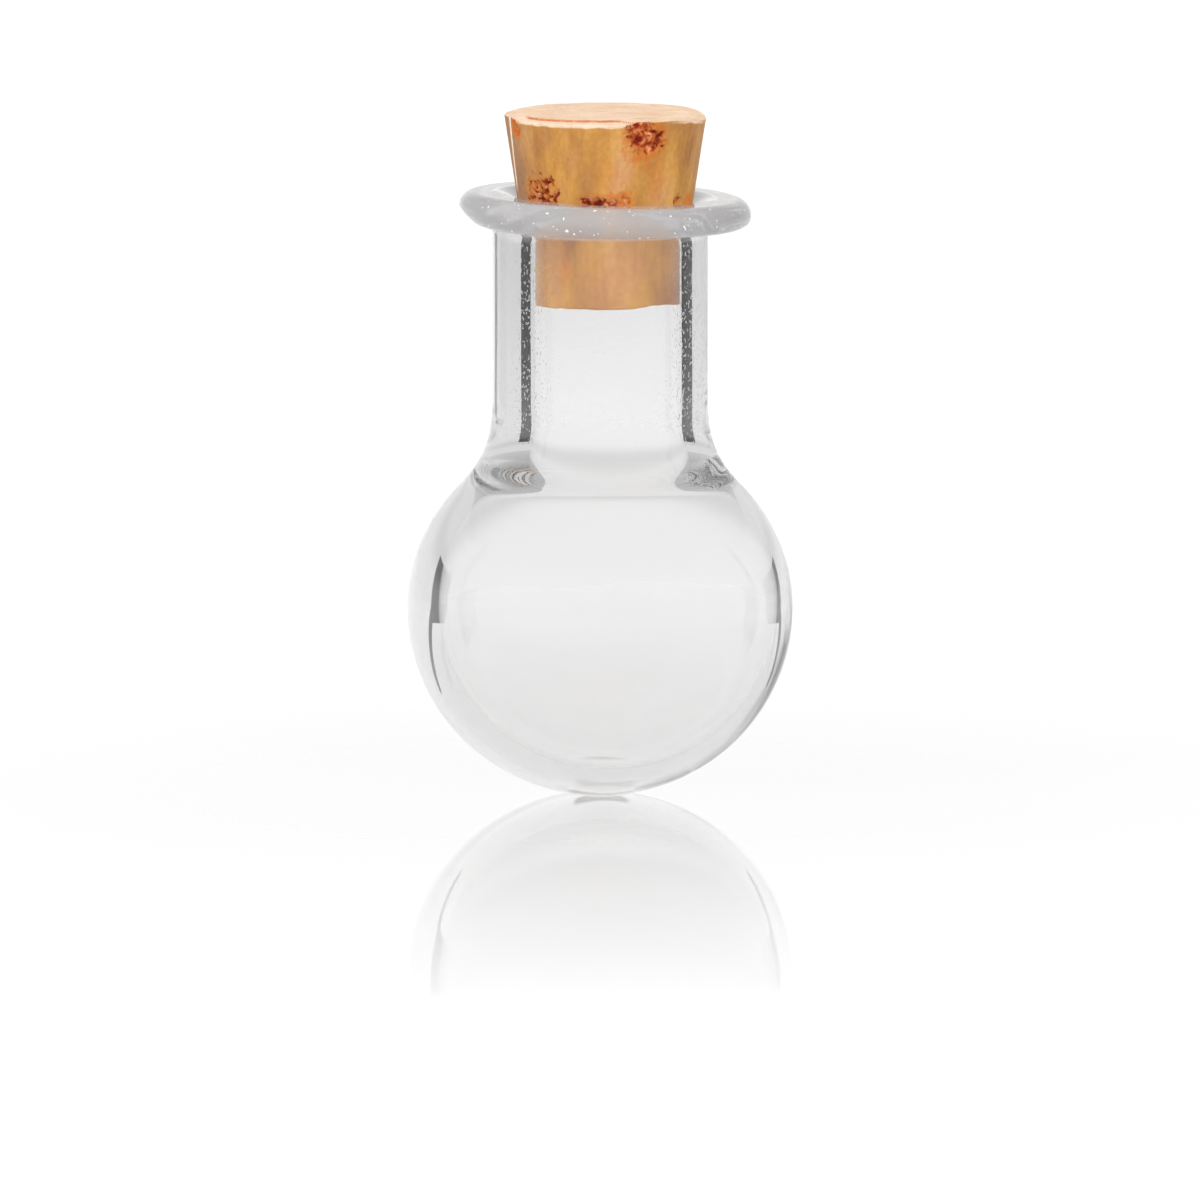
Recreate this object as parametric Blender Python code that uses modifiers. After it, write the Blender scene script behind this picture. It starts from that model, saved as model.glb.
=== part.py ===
"""Miniature round bottom flask: thick clear glass with a short wide neck and a flat
rolled lip, closed by a tapered natural cork.

Metres, +Z up. The origin is the middle of the small flattened foot that the flask stands on.
"""

from math import asin, cos, pi, radians, sin, sqrt

import bpy

# Outer surface of the glass. Each height is measured from the table.
BULB_RADIUS = 0.0125
BULB_CENTRE_Z = 0.01205
BULB_UPPER_HEIGHT = 0.01165
FOOT_RADIUS = 0.0020
SHOULDER_ANGLE = radians(42)
SHOULDER_TOP_Z = 0.0256
SHOULDER_UPPER_HANDLE = 0.0029
SHOULDER_LOWER_HANDLE = 0.0022
NECK_RADIUS = 0.0070
LIP_RADIUS = 0.0095
LIP_BOTTOM_Z = 0.0369
LIP_THICKNESS = 0.0020
LIP_ROOT_FILLET = 0.0004

# Inner surface of the glass. The mouth opens out of the bore in a quarter of an ellipse.
BORE_RADIUS = 0.0048
MOUTH_WIDENING = 0.0024
MOUTH_DEPTH = 0.0030
CAVITY_RADIUS = 0.0110
CAVITY_CENTRE_Z = 0.0122
CAVITY_UPPER_HEIGHT = 0.0102
CAVITY_LOWER_HEIGHT = 0.0107
INNER_SHOULDER_ANGLE = radians(50.5)
INNER_SHOULDER_TOP_Z = 0.0239
INNER_UPPER_HANDLE = 0.0023
INNER_LOWER_HANDLE = 0.0012

# The lip and the inner surface sit this far off the axis of the outer surface, towards +X.
ECCENTRICITY = 0.00035

# Cork. The mouth and the bore squeeze its straight taper, and it keeps a gap to them.
CORK_TOP_Z = 0.04426
CORK_BOTTOM_Z = 0.0319
CORK_TOP_RADIUS = 0.00658
CORK_BOTTOM_RADIUS = 0.00468
CORK_EDGE_ROUND = 0.0002
CORK_GAP = 0.0001

TURN_STEPS = 64
WELD_DISTANCE = 0.000001

GLASS_COLOUR = (0.86, 0.88, 0.88, 1.0)
CORK_COLOUR = (0.52, 0.30, 0.12, 1.0)


def arc(centre, radii, start, end, steps):
    """Points along an ellipse, both ends included. Angles run from +X towards +Z."""
    points = []
    for i in range(steps + 1):
        angle = start + (end - start) * i / steps
        points.append((centre[0] + radii[0] * cos(angle), centre[1] + radii[1] * sin(angle)))
    return points


def bezier(controls, steps):
    """Points along a cubic curve with four control points, both ends included."""
    points = []
    for i in range(steps + 1):
        t = i / steps
        weights = ((1 - t) ** 3, 3 * (1 - t) ** 2 * t, 3 * (1 - t) * t ** 2, t ** 3)
        points.append(tuple(sum(w * c[axis] for w, c in zip(weights, controls)) for axis in (0, 1)))
    return points


def shoulder(neck_top, upper_handle, bulb_z, bulb_radii, angle, lower_handle, steps):
    """The bend from the foot of a straight neck down to an ellipse, tangent to both."""
    join = (bulb_radii[0] * cos(angle), bulb_z + bulb_radii[1] * sin(angle))
    slope = (-bulb_radii[0] * sin(angle), bulb_radii[1] * cos(angle))
    reach = lower_handle / sqrt(slope[0] ** 2 + slope[1] ** 2)
    below_neck = (neck_top[0], neck_top[1] - upper_handle)
    above_join = (join[0] + slope[0] * reach, join[1] + slope[1] * reach)
    return bezier((neck_top, below_neck, above_join, join), steps)


def inner_profile():
    """From the bottom of the cavity, on the axis, up to the top face of the lip."""
    centre = (0.0, CAVITY_CENTRE_Z)
    upper_radii = (CAVITY_RADIUS, CAVITY_UPPER_HEIGHT)
    lower = arc(centre, (CAVITY_RADIUS, CAVITY_LOWER_HEIGHT), -pi / 2, 0.0, 9)
    upper = arc(centre, upper_radii, 0.0, INNER_SHOULDER_ANGLE, 5)
    bend = shoulder((BORE_RADIUS, INNER_SHOULDER_TOP_Z), INNER_UPPER_HANDLE, CAVITY_CENTRE_Z,
                    upper_radii, INNER_SHOULDER_ANGLE, INNER_LOWER_HANDLE, 5)
    on_axis = (0.0, lower[0][1])
    return [on_axis] + lower[1:-1] + upper[:-1] + bend[::-1] + mouth_profile()


def mouth_profile():
    """From the top of the straight bore, round the inner edge, to the top face of the lip."""
    centre = (BORE_RADIUS + MOUTH_WIDENING, LIP_BOTTOM_Z + LIP_THICKNESS - MOUTH_DEPTH)
    return arc(centre, (MOUTH_WIDENING, MOUTH_DEPTH), pi, pi / 2, 8)


def lip_profile():
    """The full round outer edge of the lip, from its top face to its underside."""
    half = LIP_THICKNESS / 2
    return arc((LIP_RADIUS - half, LIP_BOTTOM_Z + half), (half, half), pi / 2, -pi / 2, 8)


def outer_profile():
    """From the root of the lip, down the neck and the bulb, to the middle of the foot."""
    upper_radii = (BULB_RADIUS, BULB_UPPER_HEIGHT)
    foot_ratio = FOOT_RADIUS / BULB_RADIUS
    lower_radii = (BULB_RADIUS, BULB_CENTRE_Z / sqrt(1 - foot_ratio ** 2))
    root = arc((NECK_RADIUS + LIP_ROOT_FILLET, LIP_BOTTOM_Z - LIP_ROOT_FILLET),
               (LIP_ROOT_FILLET, LIP_ROOT_FILLET), pi / 2, pi, 3)
    bend = shoulder((NECK_RADIUS, SHOULDER_TOP_Z), SHOULDER_UPPER_HANDLE, BULB_CENTRE_Z,
                    upper_radii, SHOULDER_ANGLE, SHOULDER_LOWER_HANDLE, 6)
    upper = arc((0.0, BULB_CENTRE_Z), upper_radii, SHOULDER_ANGLE, 0.0, 5)
    lower = arc((0.0, BULB_CENTRE_Z), lower_radii, 0.0, asin(foot_ratio) - pi / 2, 9)
    foot = [(FOOT_RADIUS, 0.0), (0.0, 0.0)]
    return root + bend[:-1] + upper[:-1] + lower[:-1] + foot


def cork_taper(z):
    """The radius of the cork at a height, before the glass squeezes it."""
    share = (z - CORK_BOTTOM_Z) / (CORK_TOP_Z - CORK_BOTTOM_Z)
    return CORK_BOTTOM_RADIUS + (CORK_TOP_RADIUS - CORK_BOTTOM_RADIUS) * share


def cork_profile():
    """From the middle of the top face, down the squeezed taper, to the middle of the bottom."""
    edge = (CORK_EDGE_ROUND, CORK_EDGE_ROUND)
    top = arc((CORK_TOP_RADIUS - CORK_EDGE_ROUND, CORK_TOP_Z - CORK_EDGE_ROUND),
              edge, pi / 2, 0.0, 3)
    in_mouth = [(min(cork_taper(z), wall - CORK_GAP), z) for wall, z in mouth_profile()]
    bottom = arc((CORK_BOTTOM_RADIUS - CORK_EDGE_ROUND, CORK_BOTTOM_Z + CORK_EDGE_ROUND),
                 edge, 0.0, -pi / 2, 3)
    return [(0.0, CORK_TOP_Z)] + top + in_mouth[::-1] + bottom + [(0.0, CORK_BOTTOM_Z)]


def principled(name, colour, roughness, transmission, ior):
    """A non-metallic Principled material."""
    material = bpy.data.materials.new(name)
    material.use_nodes = True
    material.diffuse_color = colour
    shader = material.node_tree.nodes["Principled BSDF"]
    shader.inputs["Base Color"].default_value = colour
    shader.inputs["Roughness"].default_value = roughness
    shader.inputs["Metallic"].default_value = 0.0
    shader.inputs["Transmission Weight"].default_value = transmission
    shader.inputs["IOR"].default_value = ior
    return material


def turned(name, profile, material, collection):
    """A solid turned about its own Z axis from a profile of (radius, height) points."""
    mesh = bpy.data.meshes.new(name)
    edges = [(i, i + 1) for i in range(len(profile) - 1)]
    mesh.from_pydata([(x, 0.0, z) for x, z in profile], edges, [])
    mesh.materials.append(material)
    piece = bpy.data.objects.new(name, mesh)
    collection.objects.link(piece)
    screw = piece.modifiers.new("Turn", "SCREW")
    screw.axis = "Z"
    screw.angle = 2 * pi
    screw.steps = TURN_STEPS
    screw.render_steps = TURN_STEPS
    screw.use_merge_vertices = True
    screw.merge_threshold = WELD_DISTANCE
    screw.use_smooth_shade = True
    return piece


def even_shading(piece):
    """Keep flat faces flat next to small rounded edges."""
    shading = piece.modifiers.new("Even shading", "WEIGHTED_NORMAL")
    shading.keep_sharp = True


def make_flask(collection):
    """One piece of glass. Its lip and inner surface are moved off the axis together."""
    off_axis_points = inner_profile() + lip_profile()
    material = principled("Clear glass", GLASS_COLOUR, 0.02, 1.0, 1.5)
    flask = turned("glass_flask", off_axis_points + outer_profile(), material, collection)
    group = flask.vertex_groups.new(name="off axis")
    group.add(range(len(off_axis_points)), 1.0, "REPLACE")
    shift = flask.modifiers.new("Off axis", "DISPLACE")
    shift.direction = "X"
    shift.mid_level = 0.0
    shift.strength = ECCENTRICITY
    shift.vertex_group = group.name
    even_shading(flask)
    return flask


def make_cork(collection):
    """The stopper, standing in the mouth. It pulls straight up along its own axis."""
    material = principled("Natural cork", CORK_COLOUR, 0.85, 0.0, 1.45)
    cork = turned("cork_stopper", cork_profile(), material, collection)
    cork.location.x = ECCENTRICITY
    even_shading(cork)
    return cork


def main():
    for leftover in list(bpy.data.objects):
        bpy.data.objects.remove(leftover)
    collection = bpy.data.collections.new("Round bottom flask")
    bpy.context.scene.collection.children.link(collection)
    make_flask(collection)
    make_cork(collection)


main()
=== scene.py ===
"""Looks for the miniature round bottom flask: blown glass and a natural cork.

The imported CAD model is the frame. Both CAD nodes are replaced by finer pieces of the same size.
Profiles are in millimetres, in the frame's own axes: +Z up, -Y towards the camera. Angles round
the flask are "bearings" in degrees, 0 towards the camera and 90 towards +X.
"""

from math import asin, cos, hypot, pi, radians, sin, sqrt

import bpy
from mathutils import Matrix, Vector, noise


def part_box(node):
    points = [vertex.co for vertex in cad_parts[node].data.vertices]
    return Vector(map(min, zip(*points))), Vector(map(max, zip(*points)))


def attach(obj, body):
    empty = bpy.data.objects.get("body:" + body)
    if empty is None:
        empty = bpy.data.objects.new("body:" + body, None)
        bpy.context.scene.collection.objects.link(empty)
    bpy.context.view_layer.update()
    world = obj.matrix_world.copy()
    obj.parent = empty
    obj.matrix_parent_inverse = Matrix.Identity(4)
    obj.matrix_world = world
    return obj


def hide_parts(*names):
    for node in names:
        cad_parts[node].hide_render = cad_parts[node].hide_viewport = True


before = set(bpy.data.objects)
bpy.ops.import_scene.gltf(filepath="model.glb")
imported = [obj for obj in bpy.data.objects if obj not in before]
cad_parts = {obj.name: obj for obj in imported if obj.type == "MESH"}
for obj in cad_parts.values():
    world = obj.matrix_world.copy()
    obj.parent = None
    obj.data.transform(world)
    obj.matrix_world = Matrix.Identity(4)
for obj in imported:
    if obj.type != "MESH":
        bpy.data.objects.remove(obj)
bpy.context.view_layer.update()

MM = 0.001

# Places that the CAD model gives, in millimetres.
flask_low, flask_high = (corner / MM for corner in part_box("glass_flask"))
cork_low, cork_high = (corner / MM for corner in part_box("cork_stopper"))
BULB_RADIUS = (flask_high.y - flask_low.y) / 2
LIP_TOP = flask_high.z
CORK_TOP = cork_high.z
CORK_BOTTOM = cork_low.z
CORK_TOP_RADIUS = (cork_high.y - cork_low.y) / 2
ECCENTRICITY = (cork_low.x + cork_high.x) / 2

# Outer surface of the glass, as in the CAD model.
BULB_CENTRE, BULB_UPPER = 12.05, 11.65
FOOT_RADIUS = 2.0
SHOULDER_ANGLE, SHOULDER_TOP = radians(42), 25.6
SHOULDER_HANDLES = 2.9, 2.2
NECK_RADIUS = 7.0
LIP_RADIUS, LIP_THICKNESS, LIP_ROOT = 9.5, 2.0, 0.4
LIP_BOTTOM = LIP_TOP - LIP_THICKNESS

# Inner surface of the glass, as in the CAD model.
BORE_RADIUS = 4.8
MOUTH_WIDENING, MOUTH_DEPTH = 2.4, 3.0
MOUTH_BOTTOM = LIP_TOP - MOUTH_DEPTH
CAVITY_RADIUS, CAVITY_CENTRE, CAVITY_UPPER, CAVITY_LOWER = 11.0, 12.2, 10.2, 10.7
INNER_SHOULDER_ANGLE, INNER_SHOULDER_TOP = radians(50.5), 23.9
INNER_SHOULDER_HANDLES = 2.3, 1.2

# How the real glass strays from a turned one, in millimetres. The tilt is a slope.
LIP_TILT, LIP_TILT_FROM = 0.033, 35.9
LIP_UNEVENNESS, LIP_LEFT_CUT, LIP_NOTCH = 0.05, 0.42, 0.07
OUTER_WAVE = 0.03
INNER_WAVE, INNER_BULB_WAVE, INNER_RIPPLE = 0.02, 0.08, 0.004

# Cork, as in the CAD model.
CORK_BOTTOM_RADIUS = 4.68
CORK_GAP = 0.1

# The cork's wear, in millimetres. The top ends this far inside the rim and the side below it.
CORK_EDGE = 0.07
CRACK_HALF_WIDTH, CRACK_DEPTH, CRACK_STEP = 0.17, 0.03, 0.14
STREAK_DEPTH, FINE_DEPTH, LENTICEL_DEPTH, SLIT_DEPTH, CHIP_HEIGHT = 0.022, 0.012, 0.06, 0.06, 0.13

GLASS_SEGMENTS = 224
CORK_SEGMENTS = 400
CORK_SIDE_ROWS = 150

# Glass material. The painted reflection is how white the lip and the mouth are, from 0 to 1: a
# cloudy grey painted in place of light mirrored inside the glass.
MOUTH_PAINTED_REFLECTION, LIP_PAINTED_REFLECTION = 0.4, 0.62
PIT_STRENGTH = 0.3
GLASS_DENSITY = 14.0
# CLEAR is the glass's tint. The colour after it is the grey of the painted reflection on the lip.
CLEAR, REFLECTION_GREY = 0.93, (120, 115, 116)

# Studio, in millimetres and degrees. Heights and distances that a material reads are in metres.
FLOOR_HALF, FLOOR_DROP = 4000.0, 0.05 * MM
FLOOR_GREY, FLOOR_MIRRORED_GREY = 0.9, 0.68
POLISHED_WITHIN, MATT_BEYOND = 0.01, 0.145
CARD_RADIUS, CARD_HEIGHT, CARD_FOOT, CARD_MIDDLE = 110.0, 26.0, 24.0, 65.0
CARD_BEARINGS = (224, 244), (142, 116)
CARD_FADE, CARD_LEVELS = (0.009, 0.020), (0.13, 0.02)
FLAP_SHARE = 0.25
BACKDROP_HALF, BACKDROP_HEIGHT = 75.0, 60.0
BACKDROP_DIP, BACKDROP_LEVELS = (0.012, 0.026), (1.06, 0.86)
BACKDROP_RISE, BACKDROP_RISE_LEVEL = (0.028, 0.040), 0.14
MIRRORED_LEVEL = 0.76
BASE_HEIGHT = 0.5
WORLD_TO_CAMERA, WORLD_IN_GLASS = 1.1, 0.72
SKY_STOPS = (0.05, 1.0), (0.8, 0.55)
KEY_DIRECTION, KEY_STRENGTH, KEY_SPREAD = (0.15, 0.6, -0.8), 2.2, 70
LIGHT_BOUNCES = 32


def smooth(low, high, value):
    """0 below low, 1 above high, and a smooth step between them."""
    share = min(1.0, max(0.0, (value - low) / (high - low)))
    return share * share * (3 - 2 * share)


def bump(value, centre, half_width):
    """1 at the centre, falling smoothly to 0 at half_width from it."""
    return 1 - smooth(0.0, half_width, abs(value - centre))


def grain(x, y, z, scale, seed=0.0):
    """Smooth noise from about -1 to 1, with features about scale millimetres across."""
    return noise.noise(Vector((x / scale + seed, y / scale - seed, z / scale + 2 * seed)))


# ---------------------------------------------------------------- profiles

def arc(centre, radii, start, end, steps):
    """Points along an ellipse, both ends included. Angles run from +X towards +Z."""
    angles = [start + (end - start) * i / steps for i in range(steps + 1)]
    return [(centre[0] + radii[0] * cos(a), centre[1] + radii[1] * sin(a)) for a in angles]


def line(start, end, steps):
    """Points along a straight line, without its ends."""
    shares = [i / steps for i in range(1, steps)]
    return [(start[0] + (end[0] - start[0]) * s, start[1] + (end[1] - start[1]) * s)
            for s in shares]


def shoulder(neck_top, handles, bulb_z, bulb_radii, angle, steps):
    """The bend from the foot of a straight neck down to an ellipse, tangent to both."""
    upper_handle, lower_handle = handles
    join = Vector((bulb_radii[0] * cos(angle), bulb_z + bulb_radii[1] * sin(angle)))
    slope = Vector((-bulb_radii[0] * sin(angle), bulb_radii[1] * cos(angle))).normalized()
    top = Vector(neck_top)
    below = top - Vector((0.0, upper_handle))
    above = join + slope * lower_handle
    points = []
    for i in range(steps + 1):
        t = i / steps
        point = (top * (1 - t) ** 3 + below * 3 * (1 - t) ** 2 * t
                 + above * 3 * (1 - t) * t ** 2 + join * t ** 3)
        points.append(tuple(point))
    return points


def mouth_profile(steps):
    """From the top of the straight bore, round the inner edge, to the top face of the lip."""
    centre = (BORE_RADIUS + MOUTH_WIDENING, MOUTH_BOTTOM)
    return arc(centre, (MOUTH_WIDENING, MOUTH_DEPTH), pi, pi / 2, steps)


def inner_profile():
    """From the bottom of the cavity, on the axis, up to the top face of the lip."""
    centre = (0.0, CAVITY_CENTRE)
    upper_radii = (CAVITY_RADIUS, CAVITY_UPPER)
    lower = arc(centre, (CAVITY_RADIUS, CAVITY_LOWER), -pi / 2, 0.0, 48)
    upper = arc(centre, upper_radii, 0.0, INNER_SHOULDER_ANGLE, 24)
    bend = shoulder((BORE_RADIUS, INNER_SHOULDER_TOP), INNER_SHOULDER_HANDLES, CAVITY_CENTRE,
                    upper_radii, INNER_SHOULDER_ANGLE, 18)
    mouth = mouth_profile(24)
    bore = line(bend[0], mouth[0], 40)
    return lower[:-1] + upper[:-1] + bend[::-1] + bore + mouth


def lip_profile():
    """The full round outer edge of the lip, from its top face to its underside."""
    half = LIP_THICKNESS / 2
    top_face = line((BORE_RADIUS + MOUTH_WIDENING, LIP_TOP), (LIP_RADIUS - half, LIP_TOP), 6)
    edge = arc((LIP_RADIUS - half, LIP_BOTTOM + half), (half, half), pi / 2, -pi / 2, 28)
    return top_face + edge


def outer_profile():
    """From the root of the lip, down the neck and the bulb, to the middle of the foot."""
    upper_radii = (BULB_RADIUS, BULB_UPPER)
    foot_ratio = FOOT_RADIUS / BULB_RADIUS
    lower_radii = (BULB_RADIUS, BULB_CENTRE / sqrt(1 - foot_ratio ** 2))
    root = arc((NECK_RADIUS + LIP_ROOT, LIP_BOTTOM - LIP_ROOT), (LIP_ROOT, LIP_ROOT),
               pi / 2, pi, 8)
    bend = shoulder((NECK_RADIUS, SHOULDER_TOP), SHOULDER_HANDLES, BULB_CENTRE, upper_radii,
                    SHOULDER_ANGLE, 24)
    neck = line(root[-1], bend[0], 36)
    upper = arc((0.0, BULB_CENTRE), upper_radii, SHOULDER_ANGLE, 0.0, 24)
    lower = arc((0.0, BULB_CENTRE), lower_radii, 0.0, asin(foot_ratio) - pi / 2, 48)
    foot = line(lower[-1], (0.0, 0.0), 8) + [(0.0, 0.0)]
    return root + neck + bend + upper[1:] + lower[1:] + foot


def place(bearing, radius, z):
    """A point in millimetres, from a bearing in degrees round the Z axis."""
    return Vector((radius * sin(radians(bearing)), -radius * cos(radians(bearing)), z))


def lip_drop(x, z):
    """How far the tilt of the real lip lowers a point, more towards its rim."""
    return LIP_TILT * x * smooth(LIP_TILT_FROM, LIP_TOP - 1.2, z)


# ---------------------------------------------------------------- meshes

def add_piece(name, points, faces, material):
    """A smooth mesh object from points in millimetres."""
    mesh = bpy.data.meshes.new(name)
    mesh.from_pydata([tuple(c * MM for c in p) for p in points], [], faces)
    mesh.validate()
    mesh.shade_smooth()
    mesh.materials.append(material)
    piece = bpy.data.objects.new(name, mesh)
    bpy.context.scene.collection.objects.link(piece)
    return piece


def add_numbers(piece, name, values):
    """A number for each vertex, which the material reads by name."""
    layer = piece.data.attributes.new(name, "FLOAT", "POINT")
    layer.data.foreach_set("value", values)


def lathe_faces(rings, segments):
    """Faces of a closed turned solid: one vertex at each end and rings full rings between."""
    def at(ring, segment):
        return 1 + ring * segments + segment % segments
    last = 1 + rings * segments
    faces = [(0, at(0, j), at(0, j + 1)) for j in range(segments)]
    for i in range(rings - 1):
        faces += [(at(i, j), at(i + 1, j), at(i + 1, j + 1), at(i, j + 1)) for j in range(segments)]
    faces += [(last, at(rings - 1, j + 1), at(rings - 1, j)) for j in range(segments)]
    return faces


# ---------------------------------------------------------------- glass

def outer_stray(bearing, radius, z):
    """How far the outer surface sinks below its turned shape, in millimetres."""
    p = place(bearing, radius, z)
    wave = 0.5 + 0.5 * grain(p.x, p.y, p.z * 0.6, 6.0, 3.1)
    sink = OUTER_WAVE * wave * smooth(0.0, 1.0, z) * smooth(0.0, 4.0, radius)
    if z > LIP_BOTTOM - 0.01 and radius > NECK_RADIUS + LIP_ROOT:
        uneven = 0.5 + 0.5 * grain(p.x, p.y, p.z, 1.6, 8.0)
        level = smooth(LIP_TOP - 0.9, LIP_BOTTOM + 0.1, z)
        cut = LIP_LEFT_CUT * bump(bearing, -95, 55) * level
        notch = LIP_NOTCH * bump(bearing, 97, 14) * smooth(38.0, 37.4, z)
        sink += LIP_UNEVENNESS * uneven + cut + notch
    return sink


def inner_stray(bearing, radius, z):
    """How far the inner surface sinks into the glass, in millimetres."""
    p = place(bearing, radius, z)
    in_bulb = smooth(INNER_SHOULDER_TOP + 1.5, INNER_SHOULDER_TOP - 2.0, z)
    wave = 0.5 + 0.5 * grain(p.x, p.y, p.z * 0.7, 5.0, 5.7)
    fine = 0.5 + 0.5 * grain(p.x, p.y, p.z * 0.5, 1.1, 2.2)
    waves = (INNER_WAVE + INNER_BULB_WAVE * in_bulb) * wave + INNER_RIPPLE * fine
    return waves * smooth(0.0, 4.0, radius)


def glass_points():
    """The vertices of the glass, ring by ring, with how ground each one is and how much painted
    reflection it carries.
    """
    profile = [(r, z, 1.0, True) for r, z in inner_profile()]
    profile += [(r, z, 1.0, False) for r, z in lip_profile()]
    profile += [(r, z, 0.0, False) for r, z in outer_profile()]
    points, ground, painted_reflection = [], [], []
    for i, (radius, z, shift, inside) in enumerate(profile):
        if i in (0, len(profile) - 1):
            points.append((ECCENTRICITY * shift, 0.0, z))
            ground.append(0.0)
            painted_reflection.append(0.0)
            continue
        mouth = smooth(MOUTH_BOTTOM - 0.5, MOUTH_BOTTOM + 0.8, z) if inside else 0.0
        bore = smooth(INNER_SHOULDER_TOP - 2.5, INNER_SHOULDER_TOP + 1.0, z) if inside else 0.0
        for j in range(GLASS_SEGMENTS):
            bearing = 360 * j / GLASS_SEGMENTS - 180
            if inside:
                r = radius + inner_stray(bearing, radius, z) * (1 - mouth)
            else:
                r = radius - outer_stray(bearing, radius, z)
            p = place(bearing, r, z)
            p.z -= lip_drop(p.x, z)
            p.x += ECCENTRICITY * shift
            points.append(tuple(p))
            ground.append(bore * (1 - mouth))
            # Painted reflection: cloudy grey on the mouth and the lip, in place of light mirrored
            # inside the glass.
            if inside:
                painted_reflection.append(MOUTH_PAINTED_REFLECTION * mouth)
            else:
                painted_reflection.append(smooth(LIP_BOTTOM - 0.5, LIP_BOTTOM, z))
    return points, ground, painted_reflection, lathe_faces(len(profile) - 2, GLASS_SEGMENTS)


def make_glass(material):
    """One closed piece of glass, with how ground each part of it is and how much painted reflection
    it carries.
    """
    points, ground, painted_reflection, faces = glass_points()
    piece = add_piece("glass_body", points, faces, material)
    add_numbers(piece, "ground", ground)
    add_numbers(piece, "painted_reflection", painted_reflection)
    return piece


# ---------------------------------------------------------------- cork

# Bearing, height, half width, half height, raggedness, depth and darkness of each pit.
PITS = (
    (21.0, 43.60, 1.00, 1.05, 0.55, 0.55, 1.0),
    (28.0, 42.90, 0.85, 0.85, 0.55, 0.50, 1.0),
    (-64.0, 43.50, 0.45, 0.60, 0.60, 0.25, 0.2),
    (-8.5, 38.95, 0.80, 0.42, 0.80, 0.35, 1.6),
    (4.5, 38.95, 0.40, 0.36, 0.90, 0.25, 1.3),
    (13.5, 39.05, 0.30, 0.30, 0.80, 0.20, 0.6),
    (54.0, 38.85, 0.36, 0.32, 0.80, 0.25, 0.6),
    (118.0, 42.60, 0.32, 0.25, 0.80, 0.20, 0.8),
    (150.0, 41.40, 0.50, 0.34, 0.80, 0.30, 1.2),
    (-165.0, 43.10, 0.36, 0.30, 0.80, 0.25, 1.0),
    (-141.0, 40.30, 0.65, 0.40, 0.80, 0.30, 1.3),
)
CLUSTER = (-46.0, 39.45, 1.45, 1.05, 0.60, 0.30)

# Bearing, height, half width, half height and strength of each rusty stain.
STAINS = (
    (24.0, 43.1, 1.65, 1.75, 0.85),
    (-64.0, 43.5, 0.65, 0.85, 1.0),
    (-46.0, 39.4, 1.7, 1.2, 0.55),
    (9.0, 39.1, 1.1, 0.60, 0.90),
    (-8.0, 39.0, 1.1, 0.6, 0.55),
    (70.0, 38.7, 0.9, 0.6, 0.8),
    (34.0, 40.6, 0.7, 1.7, 0.30),
    (2.0, 40.6, 0.7, 1.2, 0.20),
    (-30.7, 34.5, 0.55, 0.9, 0.35),
    (-48.0, 32.95, 1.2, 0.12, 0.40),
    (150.0, 41.4, 0.8, 0.6, 0.45),
    (-141.0, 40.3, 1.0, 0.7, 0.50),
)


def cork_taper(z):
    """The radius of the cork at a height, before the glass squeezes it."""
    share = (z - CORK_BOTTOM) / (CORK_TOP - CORK_BOTTOM)
    return CORK_BOTTOM_RADIUS + (CORK_TOP_RADIUS - CORK_BOTTOM_RADIUS) * share


def glass_wall(bearing, z):
    """The radius of the mouth or the bore at a height, with the tilt of the lip."""
    level = z + lip_drop(BORE_RADIUS * sin(radians(bearing)), z)
    rise = (level - MOUTH_BOTTOM) / MOUTH_DEPTH
    if rise <= 0:
        return BORE_RADIUS
    if rise >= 1:
        return 2 * CORK_TOP_RADIUS
    return BORE_RADIUS + MOUTH_WIDENING * (1 - sqrt(1 - rise ** 2))


def away(bearing, centre):
    """Degrees from one bearing to another, -180 to 180."""
    return (bearing - centre + 180) % 360 - 180


def spot(bearing, z, radius, place_and_size, ragged):
    """1 in the middle of a spot on the side, falling to 0 over its ragged edge."""
    centre, height, half_width, half_height = place_and_size
    turn = away(bearing, centre)
    if abs(turn) > 60:
        return 0.0
    p = place(bearing, radius, z)
    across, up = radius * radians(turn) / half_width, (z - height) / half_height
    reach = hypot(across, up) + ragged * grain(p.x, p.y, p.z, 0.5, height)
    reach += 0.7 * ragged * grain(p.x, p.y, p.z, 0.2, height + 5)
    return smooth(1.10, 0.75, reach)


def top_level(bearing, radius):
    """The height of the cork's top face, with its worn corners."""
    p = place(bearing, radius, 0.0)
    rim = smooth(CORK_TOP_RADIUS - 1.5, CORK_TOP_RADIUS, radius)
    worn = 0.34 * bump(away(bearing, 86), 0, 45) + 0.10 * bump(away(bearing, -100), 0, 50)
    worn += 0.05 * (0.5 + 0.5 * grain(p.x, p.y, 0, 0.8, 4.0))
    _, line_radius, along = crack(bearing, radius)
    step = CRACK_STEP * along * smooth(line_radius - 0.07, line_radius + 0.07, radius)
    return CORK_TOP - rim * worn - step - 0.03 * (0.5 + 0.5 * grain(p.x, p.y, 0, 2.2, 9.0))


def bottom_level(bearing):
    """The height of the cork's bottom edge, which is a little ragged."""
    p = place(bearing, CORK_BOTTOM_RADIUS, 0.0)
    chip = 0.18 * bump(away(bearing, 42), 0, 26)
    return CORK_BOTTOM + chip + 0.10 * (0.5 + 0.5 * grain(p.x, p.y, 0, 0.7, 6.0))


def crack(bearing, radius):
    """How close a place on the top face is to the crack inside its front edge, the radius of
    the crack at that bearing, and how far along its length the crack is open there.
    """
    inset = 1.0 + 0.6 * smooth(-50, -5, bearing) + 0.12 * grain(bearing / 9, 0, 0, 1.0, 3.0)
    inset -= 1.5 * smooth(10, 17, bearing)
    along = smooth(-70, -62, bearing) * smooth(20, 16, bearing)
    line_radius = CORK_TOP_RADIUS - inset
    return along * bump(radius, line_radius, CRACK_HALF_WIDTH), line_radius, along


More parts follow.
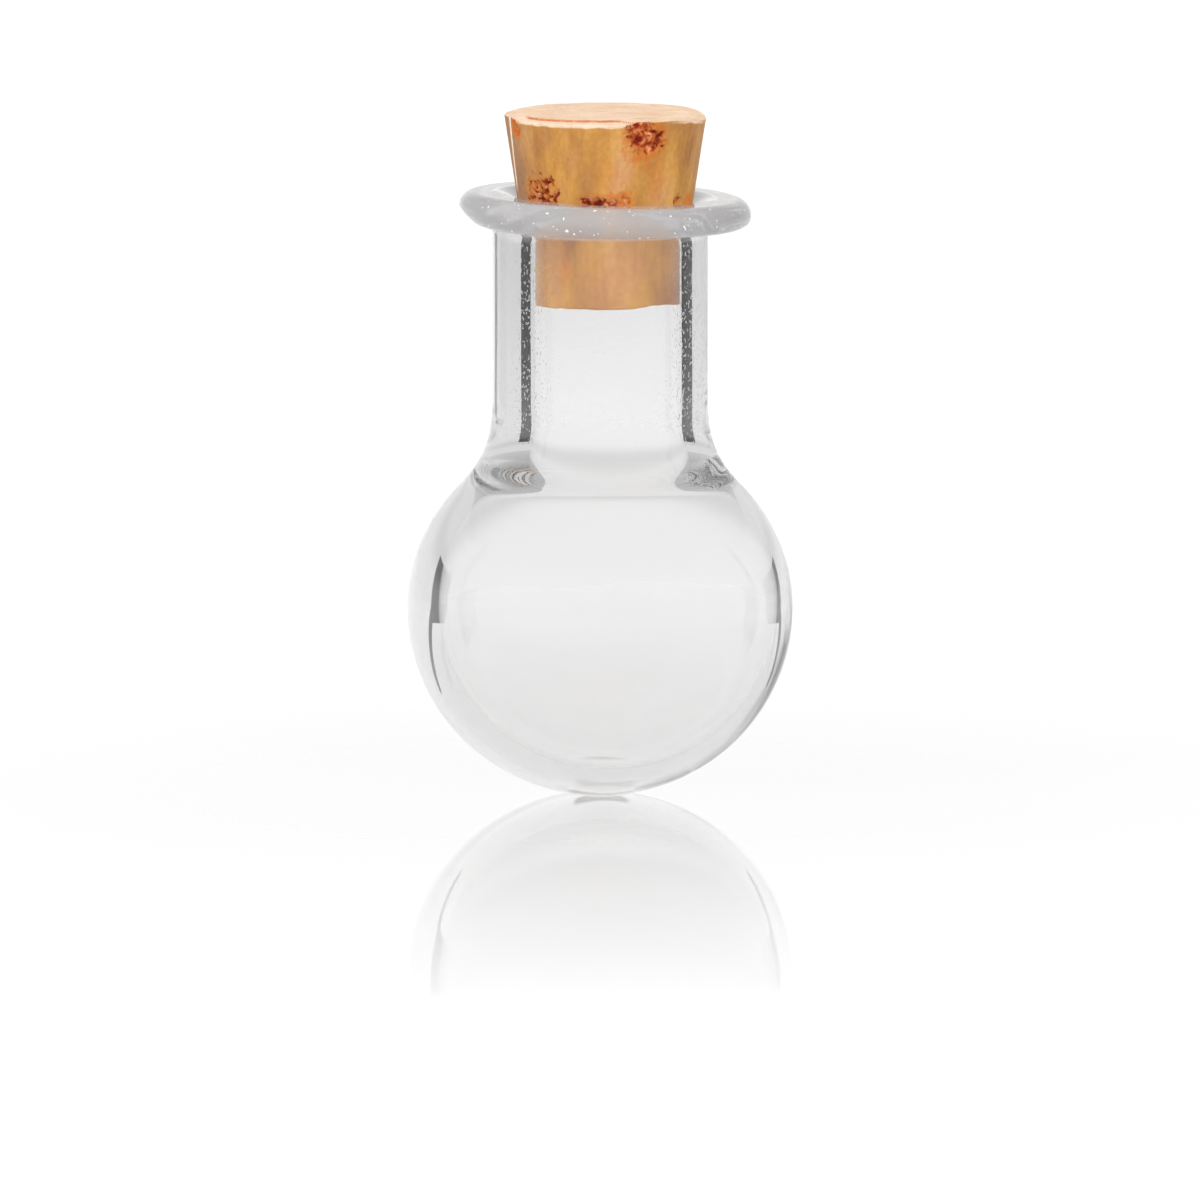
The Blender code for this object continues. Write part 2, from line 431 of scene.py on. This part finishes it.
def cork_top_point(bearing, radius):
    """Height, pit, rust and pale of a point on the top face."""
    p = place(bearing, radius, 0.0)
    near, line_radius, along = crack(bearing, radius)
    z = top_level(bearing, radius) - CRACK_DEPTH * near
    flake = along * smooth(line_radius, line_radius + 0.3, radius)
    # Along the crack the colour turns rust with a little pit colour: the cork's own inner colour
    # and painted shade in the crack.
    rust = max(near, 0.25 * smooth(0.40, 0.6, grain(p.x, p.y, 0, 0.9, 12.0)))
    pale = 0.9 + 0.15 * flake
    return z, 0.32 * smooth(0.2, 0.8, near), rust, pale


def cork_side_point(bearing, z, below_rim):
    """Radius, pit, rust, pale and painted edge shade of a point on the side."""
    radius = min(cork_taper(z), glass_wall(bearing, z) - CORK_GAP)
    p = place(bearing, radius, z)
    coarse = grain(p.x, p.y, p.z, 0.33, 1.0)
    depth, pit = 0.0, 0.0
    for *where, ragged, deep, dark in PITS:
        inside = spot(bearing, z, radius, where, ragged)
        depth = max(depth, inside * deep * (0.75 + 0.5 * coarse))
        pit = max(pit, dark * inside * (0.8 + 0.4 * coarse))
    *where, ragged, deep = CLUSTER
    web = smooth(0.30, 0.10, abs(grain(p.x, p.y, p.z, 0.42, 7.0)))
    cluster = spot(bearing, z, radius, where, ragged) * web
    depth = max(depth, deep * cluster)
    pit = max(pit, 1.4 * cluster)
    rust = 0.0
    for *where, strength in STAINS:
        rust = max(rust, strength * spot(bearing, z, radius, where, 0.35))
    lenticel = smooth(0.50, 0.70, grain(p.x, p.y, p.z * 0.25, 0.5, 15.0))
    depth += LENTICEL_DEPTH * lenticel
    rust = max(rust, 0.3 * lenticel)
    streak = grain(p.x, p.y, p.z * 0.12, 0.35, 20.0)
    depth += STREAK_DEPTH * (0.5 + 0.5 * streak)
    depth += FINE_DEPTH * (0.5 + 0.5 * grain(p.x, p.y, p.z, 0.25, 22.0))
    seam = -71.5 - 1.5 * (CORK_TOP - z)
    slit_and_highlight = bump(away(bearing, seam), 0, 2.1) * smooth(39.0, 40.0, z)
    depth += SLIT_DEPTH * slit_and_highlight
    chip = spot(bearing, z, radius, (72.0, 38.55, 0.45, 0.30), 0.3)
    if z > MOUTH_BOTTOM + 2.3:
        depth -= CHIP_HEIGHT * chip
    # A pale band just under the rim, at the front where the cork has flaked and on the right where
    # it is worn: pale cut cork and a painted rim highlight.
    flake = smooth(-70, -62, bearing) * smooth(17, 14, bearing)
    worn_rim_and_highlight = bump(away(bearing, 62), 0, 28)
    band = 0.10 + 0.07 * grain(p.x, p.y, 0, 0.8, 17.0)
    pale = max(flake, worn_rim_and_highlight) * smooth(band + 0.10, band, below_rim) * (1 - pit)
    # Painted shade: greyer brown towards the left and right edges as seen from the camera, full on
    # the left and half on the right.
    painted_edge_shade = max(smooth(-42, -75, bearing), 0.5 * smooth(60, 80, bearing))
    # The groove on the left side is a real cut, and it is also painted near-white along its length:
    # a painted highlight.
    return radius - depth, pit, rust, max(pale, 1.8 * slit_and_highlight), painted_edge_shade


def cork_rings():
    """For each ring a function from a bearing to (radius, z, pit, rust, pale, painted edge shade).
    """
    rim = CORK_TOP_RADIUS - CORK_EDGE
    fine_width = 2.2
    inner = [(rim - fine_width) * (i + 1) / 10 for i in range(10)]
    outer = [rim - fine_width + fine_width * (i + 1) / 30 for i in range(30)]

    def top(radius):
        def ring(bearing):
            side_pit = cork_side_point(bearing, top_level(bearing, rim) - CORK_EDGE, 0.0)[1]
            share = smooth(rim - 0.5, rim, radius)
            z, pit, rust, pale = cork_top_point(bearing, radius)
            nibble = 0.05 * (0.5 + 0.5 * grain(bearing / 4, 0, 0, 1.0, 30.0))
            return radius - share * (0.3 * side_pit + nibble), z, pit, rust, pale, 0.0
        return ring

    def side(share):
        def ring(bearing):
            high, low = top_level(bearing, rim) - CORK_EDGE, bottom_level(bearing) + 0.1
            z = high + (low - high) * share
            radius, *values = cork_side_point(bearing, z, high - z)
            return radius, z, *values
        return ring

    def bottom(radius):
        def ring(bearing):
            p = place(bearing, radius, 0.0)
            edge = smooth(1.5, CORK_BOTTOM_RADIUS, radius)
            z = CORK_BOTTOM + edge * (bottom_level(bearing) - CORK_BOTTOM)
            z += 0.05 * (0.5 + 0.5 * grain(p.x, p.y, 0, 0.8, 40.0))
            return radius, z, 0.0, 0.15, 0.35, 0.0
        return ring

    rings = [top(r) for r in inner + outer]
    rings += [side((i / (CORK_SIDE_ROWS - 1)) ** 1.12) for i in range(CORK_SIDE_ROWS)]
    rings += [bottom((CORK_BOTTOM_RADIUS - 0.09) * (12 - i) / 12) for i in range(12)]
    return rings


def make_cork(material):
    """One closed piece of cork, with its pits, crack, flake and worn edges as real shape."""
    rings = cork_rings()
    points, numbers = [(ECCENTRICITY, 0.0, top_level(0.0, 0.0))], [(0.0, 0.0, 0.9, 0.0)]
    for ring in rings:
        for j in range(CORK_SEGMENTS):
            bearing = 360 * j / CORK_SEGMENTS - 180
            radius, z, *values = ring(bearing)
            p = place(bearing, radius, z)
            points.append((p.x + ECCENTRICITY, p.y, p.z))
            numbers.append(values)
    points.append((ECCENTRICITY, 0.0, CORK_BOTTOM + 0.02))
    numbers.append((0.0, 0.15, 0.35, 0.0))
    faces = [tuple(reversed(f)) for f in lathe_faces(len(rings), CORK_SEGMENTS)]
    piece = add_piece("cork_body", points, faces, material)
    for name, values in zip(("pit", "rust", "pale", "painted_edge_shade"), zip(*numbers)):
        add_numbers(piece, name, values)
    return piece


# ---------------------------------------------------------------- materials

def srgb(red, green, blue):
    """A linear colour from its usual 0 to 255 values."""
    def linear(value):
        """One channel, by the standard curve."""
        value /= 255
        return value / 12.92 if value <= 0.04045 else ((value + 0.055) / 1.055) ** 2.4
    return (linear(red), linear(green), linear(blue), 1.0)


def grey(level):
    """A linear grey."""
    return (level, level, level, 1.0)


class Nodes:
    """Short calls for building a material's nodes."""

    def __init__(self, name):
        self.material = bpy.data.materials.new(name)
        self.material.use_nodes = True
        self.tree = self.material.node_tree
        self.shader = self.tree.nodes["Principled BSDF"]

    def add(self, kind, settings=(), **inputs):
        """A node. Each input takes a socket to link or a plain value."""
        node = self.tree.nodes.new("ShaderNode" + kind)
        for key, value in dict(settings).items():
            setattr(node, key, value)
        for key, value in inputs.items():
            self.put(node.inputs[key.replace("_", " ")], value)
        return node

    def put(self, socket, value):
        """Link a socket to an input, or set the input to a plain value."""
        if isinstance(value, bpy.types.NodeSocket):
            self.tree.links.new(value, socket)
        else:
            socket.default_value = value

    def number(self, name):
        """The value that the mesh stores under a name."""
        return self.add("Attribute", {"attribute_name": name}).outputs["Fac"]

    def grain(self, scale, stretch=1.0, detail=3.0, seed=0.0):
        """Noise with features about 1 / scale millimetres across, drawn out along Z."""
        at = self.add("TexCoord").outputs["Object"]
        mapping = self.add("Mapping", Vector=at, Location=(seed, seed, seed),
                           Scale=(scale * 1000, scale * 1000, scale * 1000 / stretch))
        return self.add("TexNoise", Vector=mapping.outputs["Vector"], Scale=1.0,
                        Detail=detail).outputs["Fac"]

    def height(self):
        """The height above the floor, in metres."""
        at = self.add("TexCoord").outputs["Object"]
        return self.add("SeparateXYZ", Vector=at).outputs["Z"]

    def glow(self, strength):
        """Make the surface give plain white light and reflect none."""
        self.shader.inputs["Base Color"].default_value = (0.0, 0.0, 0.0, 1.0)
        self.shader.inputs["Specular IOR Level"].default_value = 0.0
        self.shader.inputs["Emission Color"].default_value = (1.0, 1.0, 1.0, 1.0)
        self.put(self.shader.inputs["Emission Strength"], strength)

    def ramp(self, value, stops):
        """Colours along a value, from (position, colour) pairs."""
        node = self.add("ValToRGB", Fac=value)
        elements = node.color_ramp.elements
        while len(elements) < len(stops):
            elements.new(0.5)
        for element, (position, colour) in zip(elements, stops):
            element.position = position
            element.color = colour
        return node.outputs["Color"]

    def span(self, value, low, high, to_low=0.0, to_high=1.0):
        """A value mapped smoothly from one range to another."""
        node = self.add("MapRange", {"interpolation_type": "SMOOTHSTEP"}, Value=value,
                        From_Min=low, From_Max=high, To_Min=to_low, To_Max=to_high)
        return node.outputs["Result"]

    def mix(self, share, first, second):
        """The first colour at share 0 and the second at share 1."""
        node = self.add("Mix", {"data_type": "RGBA"})
        self.put(node.inputs[0], share)
        self.put(node.inputs[6], first)
        self.put(node.inputs[7], second)
        return node.outputs[2]

    def times(self, first, second):
        """The product of two values."""
        node = self.add("Math", {"operation": "MULTIPLY"})
        self.put(node.inputs[0], first)
        self.put(node.inputs[1], second)
        return node.outputs["Value"]


def glass_material():
    """Clear glass. Its lip is painted a cloudy grey with small white bubble glints, as painted
    reflection of light mirrored inside the lip, and its bore is finely pitted.

    The painted grey lies on the surface and shows only from outside the glass.
    """
    nodes = Nodes("clear_glass")
    shader = nodes.shader
    shader.inputs["IOR"].default_value = 1.5
    shader.inputs["Roughness"].default_value = 0.0
    inside = nodes.add("NewGeometry").outputs["Backfacing"]
    # The cloudy grey on the lip and the mouth is painted reflection, and the white specks are
    # painted glints of bubble voids.
    painted_reflection = nodes.times(nodes.number("painted_reflection"), nodes.span(inside, 0.0, 1.0, 1.0, 0.0))
    cloud = nodes.span(nodes.grain(0.9, 1.0, 3.0, 7.0), 0.3, 0.7, 0.88, 1.12)
    bubble_glints = nodes.times(nodes.span(nodes.grain(4.5, 1.0, 0.0, 9.0), 0.775, 0.815), painted_reflection)
    share = nodes.add("Math", {"operation": "MAXIMUM"})
    nodes.put(share.inputs[0], nodes.times(nodes.times(painted_reflection, cloud), LIP_PAINTED_REFLECTION))
    nodes.put(share.inputs[1], bubble_glints)
    clear = nodes.span(share.outputs["Value"], 0.0, 1.0, 1.0, 0.0)
    nodes.put(shader.inputs["Transmission Weight"], clear)
    reflection_colour = nodes.mix(bubble_glints, srgb(*REFLECTION_GREY), srgb(240, 240, 240))
    nodes.put(shader.inputs["Base Color"], nodes.mix(share.outputs["Value"], grey(CLEAR), reflection_colour))
    pitted = nodes.times(nodes.span(nodes.grain(6.0, 1.3, 1.0, 5.0), 0.60, 0.72),
                         nodes.number("ground"))
    relief = nodes.add("Bump", Strength=PIT_STRENGTH, Distance=0.00002, Height=pitted)
    nodes.put(shader.inputs["Normal"], relief.outputs["Normal"])
    absorb = nodes.add("VolumeAbsorption", Color=(0.5, 0.5, 0.5, 1.0), Density=GLASS_DENSITY)
    nodes.put(nodes.tree.nodes["Material Output"].inputs["Volume"], absorb.outputs["Volume"])
    return nodes.material


def cork_material():
    """Natural cork: ochre side with upright streaks, paler cut faces, dark red-brown pits, painted
    shade towards the side edges and a painted highlight along the groove on the left side.
    """
    nodes = Nodes("natural_cork")
    shader = nodes.shader
    streaks = nodes.ramp(nodes.grain(0.55, 7.0, 3.0), (
        (0.30, srgb(136, 88, 48)), (0.44, srgb(168, 116, 60)), (0.55, srgb(194, 140, 70)),
        (0.68, srgb(212, 164, 104))))
    patches = nodes.ramp(nodes.grain(0.32, 1.8, 2.0, 4.0), (
        (0.35, srgb(150, 98, 66)), (0.45, srgb(182, 128, 66)), (0.55, srgb(198, 144, 68)),
        (0.66, srgb(186, 128, 88))))
    side = nodes.mix(0.5, streaks, patches)
    # Greyish brown towards the left and right edges: painted shade.
    side = nodes.mix(nodes.times(nodes.number("painted_edge_shade"), 0.6), side, srgb(150, 118, 96))
    cut = nodes.ramp(nodes.grain(0.5, 1.0, 2.0, 8.0), (
        (0.30, srgb(226, 190, 160)), (0.50, srgb(232, 202, 174)), (0.70, srgb(238, 212, 186))))
    pale = nodes.number("pale")
    colour = nodes.mix(pale, side, cut)
    # Near-white where pale goes past 1, mainly along the groove on the left side: a painted
    # highlight.
    colour = nodes.mix(nodes.span(pale, 1.0, 1.6), colour, srgb(250, 236, 224))
    speckle = nodes.span(nodes.grain(4.0, 1.5, 3.0, 2.0), 0.35, 0.65, 0.94, 1.05)
    dots = nodes.span(nodes.grain(2.2, 1.4, 2.0, 6.0), 0.70, 0.78, 0.0, 0.4)
    colour = nodes.mix(dots, colour, srgb(140, 80, 44))
    colour = nodes.mix(nodes.times(nodes.number("rust"), 0.85), colour, srgb(196, 108, 40))
    pits = nodes.ramp(nodes.grain(2.6, 1.0, 2.0, 3.0), (
        (0.34, srgb(112, 28, 8)), (0.44, srgb(158, 58, 22)), (0.52, srgb(188, 96, 44)),
        (0.60, srgb(210, 138, 88)), (0.70, srgb(228, 176, 140))))
    pit = nodes.number("pit")
    pits = nodes.mix(nodes.span(pit, 0.9, 1.5, 0.0, 0.85), pits, srgb(104, 26, 8))
    colour = nodes.mix(nodes.span(pit, 0.15, 0.6), colour, pits)
    scaled = nodes.add("VectorMath", {"operation": "SCALE"}, Scale=speckle)
    nodes.put(scaled.inputs[0], colour)
    nodes.put(shader.inputs["Base Color"], scaled.outputs["Vector"])
    nodes.put(shader.inputs["Roughness"], nodes.span(nodes.grain(1.5), 0.3, 0.7, 0.72, 0.92))
    relief = nodes.add("Bump", Strength=0.5, Distance=0.00006,
                       Height=nodes.grain(4.5, 1.8, 4.0, 1.0))
    nodes.put(shader.inputs["Normal"], relief.outputs["Normal"])
    shader.inputs["Specular IOR Level"].default_value = 0.25
    return nodes.material


# ---------------------------------------------------------------- studio

def make_floor():
    """A wide pale table top, polished round the foot, so that it mirrors the bulb softly."""
    nodes = Nodes("floor")
    matt = nodes.shader
    matt.inputs["Specular IOR Level"].default_value = 0.0
    polished = nodes.add("BsdfPrincipled", Roughness=0.05, Coat_Weight=1.0, Coat_Roughness=0.03)
    pale = nodes.mix(mirrored_in_glass(nodes), grey(FLOOR_GREY), grey(FLOOR_MIRRORED_GREY))
    for shader in (matt, polished):
        nodes.put(shader.inputs["Base Color"], pale)
    reach = nodes.add("VectorMath", {"operation": "LENGTH"})
    nodes.put(reach.inputs[0], nodes.add("TexCoord").outputs["Object"])
    fade = nodes.span(reach.outputs["Value"], POLISHED_WITHIN, MATT_BEYOND, 1.0, 0.0)
    mixed = nodes.add("MixShader", Fac=fade)
    nodes.put(mixed.inputs[1], matt.outputs["BSDF"])
    nodes.put(mixed.inputs[2], polished.outputs["BSDF"])
    nodes.put(nodes.tree.nodes["Material Output"].inputs["Surface"], mixed.outputs["Shader"])
    corners = [(FLOOR_HALF * x, FLOOR_HALF * y, 0.0)
               for x, y in ((-1, -1), (1, -1), (1, 1), (-1, 1))]
    floor = add_piece("floor", corners, [(0, 1, 2, 3)], nodes.material)
    floor.location.z = -FLOOR_DROP


def make_card(name, start, end):
    """A curved card that stands behind the flask on a flap and draws the dark edges in it.

    It is paler low down, and shows only in light that the glass has mirrored inside itself.
    """
    steps = 12
    rows = ((CARD_FOOT, BASE_HEIGHT, FLAP_SHARE), (CARD_MIDDLE, BASE_HEIGHT, FLAP_SHARE),
            (CARD_MIDDLE, BASE_HEIGHT, 1.0), (CARD_RADIUS, BASE_HEIGHT, 1.0),
            (CARD_RADIUS, CARD_HEIGHT, 1.0))
    points = [tuple(place(start + (end - start) * share * i / steps, radius, z))
              for radius, z, share in rows for i in range(steps + 1)]
    width = steps + 1
    faces = [(r * width + i, r * width + i + 1, (r + 1) * width + i + 1, (r + 1) * width + i)
             for r in (0, 2, 3) for i in range(steps)]
    nodes = Nodes(name)
    nodes.glow(nodes.span(nodes.height(), *CARD_FADE, *CARD_LEVELS))
    mixed = nodes.add("MixShader", Fac=mirrored_in_glass(nodes))
    nodes.put(mixed.inputs[1], nodes.add("BsdfTransparent").outputs["BSDF"])
    nodes.put(mixed.inputs[2], nodes.shader.outputs["BSDF"])
    nodes.put(nodes.tree.nodes["Material Output"].inputs["Surface"], mixed.outputs["Shader"])
    only_in_glass(add_piece(name, points, faces, nodes.material))


def mirrored_in_glass(nodes):
    """1 for light that has been mirrored before it left the glass, and 0 for other light."""
    path = nodes.add("LightPath")
    mirrored = nodes.add("Math", {"operation": "GREATER_THAN"})
    nodes.put(mirrored.inputs[0], path.outputs["Glossy Depth"])
    nodes.put(mirrored.inputs[1], 0.5)
    return nodes.times(mirrored.outputs["Value"], path.outputs["Is Transmission Ray"])


def only_in_glass(card):
    """Only rays that have gone through the glass meet the card."""
    card.visible_camera = False
    card.visible_diffuse = False
    card.visible_glossy = False
    card.visible_shadow = False


def make_backdrop():
    """A wide card behind the dark ones: white low down, pale grey above and paler at the top."""
    steps, radius = 48, CARD_RADIUS + 2
    rim = [place(180 + BACKDROP_HALF * (2 * i / steps - 1), radius, 0.0) for i in range(steps + 1)]
    points = [(p.x, p.y, z) for z in (BASE_HEIGHT, BACKDROP_HEIGHT) for p in rim]
    faces = [(i, i + 1, i + steps + 2, i + steps + 1) for i in range(steps)]
    nodes = Nodes("backdrop")
    height = nodes.height()
    dip = nodes.span(height, *BACKDROP_DIP, *BACKDROP_LEVELS)
    rise = nodes.span(height, *BACKDROP_RISE, 0.0, BACKDROP_RISE_LEVEL)
    level = nodes.add("Math", {"operation": "ADD"})
    nodes.put(level.inputs[0], dip)
    nodes.put(level.inputs[1], rise)
    level = nodes.times(level.outputs["Value"],
                        nodes.span(mirrored_in_glass(nodes), 0.0, 1.0, 1.0, MIRRORED_LEVEL))
    nodes.glow(level)
    only_in_glass(add_piece("backdrop", points, faces, nodes.material))


def make_world():
    """White to the camera. In glass and on surfaces it is white low down and greyer overhead."""
    world = bpy.data.worlds.new("studio")
    world.use_nodes = True
    tree = world.node_tree
    soft = tree.nodes["Background"]
    white = tree.nodes.new("ShaderNodeBackground")
    white.inputs["Color"].default_value = (1.0, 1.0, 1.0, 1.0)
    white.inputs["Strength"].default_value = WORLD_TO_CAMERA
    place_node = tree.nodes.new("ShaderNodeTexCoord")
    split = tree.nodes.new("ShaderNodeSeparateXYZ")
    ramp = tree.nodes.new("ShaderNodeValToRGB")
    for element, (position, brightness) in zip(ramp.color_ramp.elements, SKY_STOPS):
        element.position = position
        element.color = grey(brightness)
    path = tree.nodes.new("ShaderNodeLightPath")
    level = tree.nodes.new("ShaderNodeMapRange")
    level.inputs["To Min"].default_value = 1.0
    level.inputs["To Max"].default_value = WORLD_IN_GLASS
    tree.links.new(path.outputs["Is Transmission Ray"], level.inputs["Value"])
    tree.links.new(level.outputs["Result"], soft.inputs["Strength"])
    mix = tree.nodes.new("ShaderNodeMixShader")
    tree.links.new(place_node.outputs["Generated"], split.inputs["Vector"])
    tree.links.new(split.outputs["Z"], ramp.inputs["Fac"])
    tree.links.new(ramp.outputs["Color"], soft.inputs["Color"])
    tree.links.new(path.outputs["Is Camera Ray"], mix.inputs["Fac"])
    tree.links.new(soft.outputs["Background"], mix.inputs[1])
    tree.links.new(white.outputs["Background"], mix.inputs[2])
    tree.links.new(mix.outputs["Shader"], tree.nodes["World Output"].inputs["Surface"])
    bpy.context.scene.world = world


def soft_light(name, direction, strength, spread):
    """A wide soft light from far off, which reflections and glass don't show."""
    data = bpy.data.lights.new(name, "SUN")
    data.energy = strength
    data.angle = radians(spread)
    light = bpy.data.objects.new(name, data)
    light.rotation_euler = Vector(direction).to_track_quat("-Z", "Y").to_euler()
    light.visible_glossy = False
    light.visible_transmission = False
    bpy.context.scene.collection.objects.link(light)


def make_camera():
    """Straight on and a little from above, with a very long lens."""
    distance, elevation, frame_width = 2.5, radians(6.6), 0.0777
    target = Vector((0.0, 0.0, 0.0125))
    data = bpy.data.cameras.new("camera")
    data.sensor_width = 36.0
    data.lens = data.sensor_width * distance / frame_width
    data.clip_start = 0.1
    data.clip_end = 20.0
    camera = bpy.data.objects.new("camera", data)
    camera.location = target + Vector((0.0, -cos(elevation), sin(elevation))) * distance
    camera.rotation_euler = (target - camera.location).to_track_quat("-Z", "Y").to_euler()
    bpy.context.scene.collection.objects.link(camera)
    bpy.context.scene.camera = camera


glass = make_glass(glass_material())
glass.visible_diffuse = False
glass.visible_shadow = False
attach(glass, "flask")
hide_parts("glass_flask")

cork = make_cork(cork_material())
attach(cork, "cork")
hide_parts("cork_stopper")

make_floor()
for i, (start, end) in enumerate(CARD_BEARINGS):
    make_card("card_%d" % i, start, end)
make_backdrop()
make_world()
soft_light("key", KEY_DIRECTION, KEY_STRENGTH, KEY_SPREAD)
make_camera()
bpy.context.scene.view_settings.view_transform = "Standard"
for kind in ("max_bounces", "transmission_bounces", "glossy_bounces"):
    setattr(bpy.context.scene.cycles, kind, LIGHT_BOUNCES)
